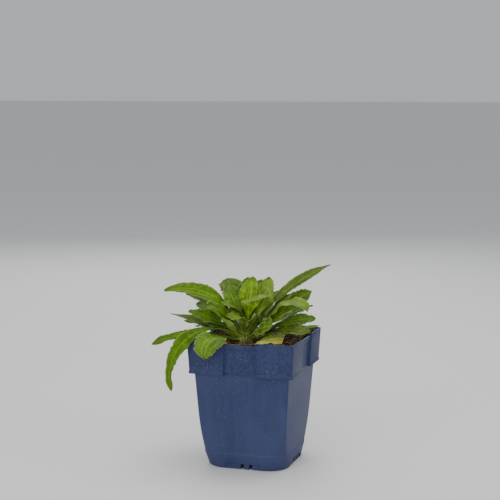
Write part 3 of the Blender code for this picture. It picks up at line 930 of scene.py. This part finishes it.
def bladeSection(u, share, half, stalk, wave, ribbing, seed):
    # one point of the blade: u is -1 to 1 from margin to margin, share is 0 to 1 along it
    hand = 1 if u > 0 else -1
    edge = abs(u)
    drift = noise.noise(Vector((share * 4 + seed, hand * 3.0, seed))) * leafForm["uneven"] * (1 - stalk)
    toothDepth = leafForm["toothDepth"] * (0.5 + 0.6 * wave)
    reach = half * (1 + (toothDepth * teeth(share, hand, seed) + drift) * edge ** 2)
    ripple = math.sin(share * 17 + seed + hand * 1.3) + 0.6 * math.sin(share * 31 + seed * 2 + hand)
    lift = leafForm["cup"] * half * (edge ** 2 + 0.6 * stalk * edge)
    lift += leafForm["waves"] * wave * ripple * edge ** 2.5 * smoothStep((share - 0.3) / 0.3) * 0.5
    lumps = noise.noise(Vector((u * 2.2 + seed, share * 7, seed * 0.7)))
    veinPath = share * leafForm["veins"] - edge * leafForm["veinSweep"] + lumps * 0.5
    quilting = math.sin(veinPath * 2 * math.pi) * leafForm["quilt"] * smoothStep(edge * 5) * (1 - edge ** 3)
    pleatPath = edge * leafForm["pleats"] + lumps * 0.3
    pleats = math.cos(pleatPath * 2 * math.pi) * leafForm["pleat"] * (1 - edge ** 2) * ribbing
    lift += (quilting + pleats * (1.1 - share) + lumps * leafForm["swell"] * edge) * (1 - stalk)
    body = leafForm["thickness"] * (1 + 0.9 * stalk) * math.sqrt(max(0.0, 1 - edge ** 2))
    crease = math.exp(-(edge / leafForm["crease"]) ** 2)
    top = lift + body - crease * leafForm["midribGroove"] * (1 - 0.5 * stalk)
    bottom = lift - body - crease * leafForm["midribRidge"] * (1 - 0.6 * share)
    ragged = noise.noise(Vector((u * 4.0 + seed, seed, 0.0))) * smoothStep((share - 0.8) / 0.2)
    return reach, top, bottom, ragged * leafForm["ragged"]


def skinBlade(work, layout, tops, backs, marks, backMaterial=0):
    # faces on both sides and both ends, then each corner's place on the blade
    rows, columns = len(tops) - 1, len(tops[0]) - 1
    for row in range(rows):
        for column in range(columns):
            work.faces.new((tops[row][column], tops[row + 1][column],
                            tops[row + 1][column + 1], tops[row][column + 1]))
            under = work.faces.new((backs[row][column], backs[row][column + 1],
                                    backs[row + 1][column + 1], backs[row + 1][column]))
            under.material_index = backMaterial
    for row, flip in ((0, False), (rows, True)):
        loop = tops[row] + list(reversed(backs[row][1:-1]))
        work.faces.new(list(reversed(loop)) if flip else loop)
    bmesh.ops.recalc_face_normals(work, faces=work.faces)
    for face in work.faces:
        for corner in face.loops:
            corner[layout].uv = marks[corner.vert]


def leafMesh(name, spec, margins):
    heading, length, rise, tipRise, bend, width, widest, roll, swing, tipRound, wave, color = spec
    seed = sum(ord(letter) for letter in name) * 0.37
    ribbing = leafColors[color][-1]
    length = length * mm
    root = direction(math.radians(heading), math.radians(rise * leafForm["rootSpread"]))
    place = crown["centre"] + root * (crown["radius"] + leafForm["rootGap"])
    rows, columns = leafForm["rows"], leafForm["columns"]
    work = bmesh.new()
    layout = work.loops.layers.uv.new("leaf layout")
    tops, backs, marks = [], [], {}
    for row in range(rows + 1):
        share = row / rows
        bent = share ** bend if bend > 0 else smoothStep((share + bend) / leafForm["foldSpan"] + 0.5)
        slope = math.radians(rise + (tipRise - rise) * bent)
        bearing = math.radians(heading + swing * bent)
        along = direction(bearing, slope)
        side = Vector((-math.sin(bearing), math.cos(bearing), 0.0))
        turn = math.radians(roll) * smoothStep(share / 0.5)
        normal = along.cross(side)
        across = side * math.cos(turn) + normal * math.sin(turn)
        facing = normal * math.cos(turn) - side * math.sin(turn)
        half = max(halfWidth(share, width * mm, widest, tipRound), leafForm["leastHalf"])
        stalk = 1 - smoothStep((share - 0.08) / 0.3)
        topRow, backRow = [], []
        for column in range(-columns, columns + 1):
            u = column / columns
            reach, top, bottom, ragged = bladeSection(u, share, half, stalk, wave, ribbing, seed)
            base = place + across * (reach * u) + along * ragged
            topVert = work.verts.new(base + facing * top)
            marks[topVert] = (0.5 + u / 2, share)
            if abs(column) == columns:
                backVert = topVert
                margins.append((topVert.co.copy(), across * math.copysign(1, u), along, facing))
            else:
                backVert = work.verts.new(base + facing * bottom)
                marks[backVert] = (0.5 + u / 2, share)
            topRow.append(topVert)
            backRow.append(backVert)
        tops.append(topRow)
        backs.append(backRow)
        place = place + along * (length / rows)
    skinBlade(work, layout, tops, backs, marks, 1)
    return meshFrom(name, work)


def makeLeaves():
    finishes = makeLeafFinishes()
    whorls = {}
    for name, spec in leaves.items():
        whorl = name.split("_")[0]
        mesh = leafMesh(name, spec, whorls.setdefault(whorl, []))
        piece = addPiece(name.replace("_leaf_", "_blade_"), mesh, whorl + "_leaf", *finishes[spec[-1]])
        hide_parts(name)
    makeDown(whorls)


# the soft down along the leaf margins
down = {
    "perSpot": 2.2,
    "length": 0.85 * mm,
    "thick": 0.045 * mm,
    "rootSink": 0.12 * mm,
    "slide": 0.4,             # mm along the margin, either way
    "shortest": 0.5,          # share of the full length
    "lean": 0.8,
    "spread": 0.6,
    "seed": 23,
}


def addHair(points, faces, root, aim, length, thick):
    side = aim.orthogonal().normalized()
    other = aim.cross(side)
    first = len(points)
    for corner in range(3):
        angle = corner * 2 * math.pi / 3
        points.append(root + (side * math.cos(angle) + other * math.sin(angle)) * thick)
    points.append(root + aim * length)
    faces += [(first, first + 2, first + 1), (first, first + 1, first + 3),
              (first + 1, first + 2, first + 3), (first + 2, first, first + 3)]


def makeDown(whorls):
    fluff = Finish("leaf down", Roughness=0.7)
    patch = fluff.noise(fluff.place(), 400.0).between(0.3, 0.7)
    material = fluff.wire(Base_Color=patch.blend(rgb(150, 168, 92), rgb(188, 200, 140)))
    dice = random.Random(down["seed"])
    for whorl, margins in whorls.items():
        points, faces = [], []
        for edgePoint, outward, along, facing in margins:
            for _ in range(int(down["perSpot"] + dice.random())):
                slide = along * dice.uniform(-down["slide"], down["slide"]) * mm
                aim = outward + along * dice.uniform(0.0, down["lean"])
                aim = (aim + facing * dice.uniform(-down["spread"], down["spread"])).normalized()
                length = down["length"] * dice.uniform(down["shortest"], 1.0)
                root = edgePoint - outward * down["rootSink"] + slide
                addHair(points, faces, root, aim, length, down["thick"])
        mesh = bpy.data.meshes.new(whorl + "_leaf_down")
        mesh.from_pydata(points, [], faces)
        addPiece(whorl + "_leaf_down", mesh, whorl + "_leaf", material)


oldLeaf = {
    "start": Vector((8.9, -34.7, 108.6)) * mm,
    "heading": 32,
    "length": 22.0 * mm,      # of its near edge, which lies on the soil
    "lead": 6.5 * mm,         # how much further its raised edge reaches
    "width": 15.0 * mm,
    "tilt": 24,
    "fullness": 0.6,
    "point": 0.06,
    "wornEnd": 0.12,
    "curl": 0.8 * mm,         # slow waves of its margins
    "crinkle": 0.4 * mm,      # and quick ones
    "thickness": 0.25 * mm,   # half of it, at the midrib
    "groove": 0.25 * mm,
    "ridge": 0.3 * mm,
    "crease": 0.12,
    "bladeStart": 0.35,       # the stalk is gone, so its layout starts up the blade
    "bladeSpan": 0.6,
    "rows": 40,
    "columns": 8,
}


def shedFinish():
    leaf = Finish("yellowed leaf", **{"Specular IOR Level": 0.25, "Subsurface Weight": 0.1,
                                      "Subsurface Scale": 0.001})
    place = leaf.place()
    layout, across, along, off = bladeLayout(leaf)
    patch = leaf.noise(place, 160.0, 3.0)
    mottle = leaf.noise(place, 700.0, 4.0, 0.6)
    streaks = leaf.noise(leaf.stretch(layout, (26.0, 4.0, 1.0)), 1.0, 3.0)
    green = (across + patch * 0.9).between(0.55, 1.15)
    tone = green.blend(rgb(184, 180, 70), rgb(104, 130, 28))
    tone = (streaks.between(0.48, 0.66) * 0.5).blend(tone, rgb(126, 128, 34))
    veins = ((along * 9.0 - off * 2.0 + patch * 0.8) * (2 * math.pi)).sine().between(0.75, 1.0)
    tone = (veins * 0.35).blend(tone, rgb(222, 218, 140))
    tone = (off.between(0.0, 0.1, 1.0, 0.0) * 0.6).blend(tone, rgb(224, 220, 146))
    tone = (mottle.between(0.60, 0.72) * 0.5).blend(tone, rgb(120, 88, 36))
    tone = (off.between(0.93, 1.0) * 0.5).blend(tone, rgb(214, 212, 150))
    relief = mottle * 0.4 + streaks * 0.6
    return leaf.wire(Base_Color=tone, Roughness=mottle.between(0.3, 0.7, 0.5, 0.7),
                     Normal=leaf.bump(relief, 0.5, 0.0004))


def makeOldLeaf():
    tilt = math.radians(oldLeaf["tilt"])
    along = direction(math.radians(oldLeaf["heading"]), 0.0)
    level = Vector((-along.y, along.x, 0.0))
    across = level * math.cos(tilt) + up * math.sin(tilt)
    facing = along.cross(across)
    work = bmesh.new()
    layout = work.loops.layers.uv.new("leaf layout")
    marks, tops, backs = {}, [], []
    rows, columns = oldLeaf["rows"], oldLeaf["columns"]
    for row in range(rows + 1):
        share = row / rows
        near = oldLeaf["start"] - across * oldLeaf["width"] / 2 + along * (oldLeaf["length"] * share)
        broad = max(oldLeaf["point"], math.sin(share * math.pi / 2) ** oldLeaf["fullness"])
        worn = 1 - oldLeaf["wornEnd"] * smoothStep((share - 0.9) / 0.1)
        reach = across * (oldLeaf["width"] * broad * worn) + along * (oldLeaf["lead"] * share)
        topRow, backRow = [], []
        for column in range(-columns, columns + 1):
            u = column / columns
            crease = math.exp(-(u / oldLeaf["crease"]) ** 2)
            sag = oldLeaf["curl"] * math.sin(share * 9 + u * 3) * abs(u)
            sag += oldLeaf["crinkle"] * math.sin(share * 23 + 1) * u * u
            body = oldLeaf["thickness"] * math.sqrt(max(0.0, 1 - u * u))
            spot = near + reach * ((1 + u) / 2)
            topVert = work.verts.new(spot + facing * (sag + body - oldLeaf["groove"] * crease))
            marks[topVert] = (0.5 + u / 2, oldLeaf["bladeStart"] + share * oldLeaf["bladeSpan"])
            if abs(column) == columns:
                backVert = topVert
            else:
                backVert = work.verts.new(spot + facing * (sag - body - oldLeaf["ridge"] * crease))
                marks[backVert] = marks[topVert]
            topRow.append(topVert)
            backRow.append(backVert)
        tops.append(topRow)
        backs.append(backRow)
    skinBlade(work, layout, tops, backs, marks)
    piece = addPiece("shed_leaf", meshFrom("shed_leaf", work), "old_leaf", shedFinish())
    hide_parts("old_yellow_leaf")


makeStage()
makeCamera()
print("stage, lights and camera are set")
makePot()
makeDrops()
print("pot is moulded")
makeSoil()
makeGrains()
makeFibres()
makeCrown()
print("soil and crown are in")
makeLeaves()
makeOldLeaf()
print("leaves are grown")
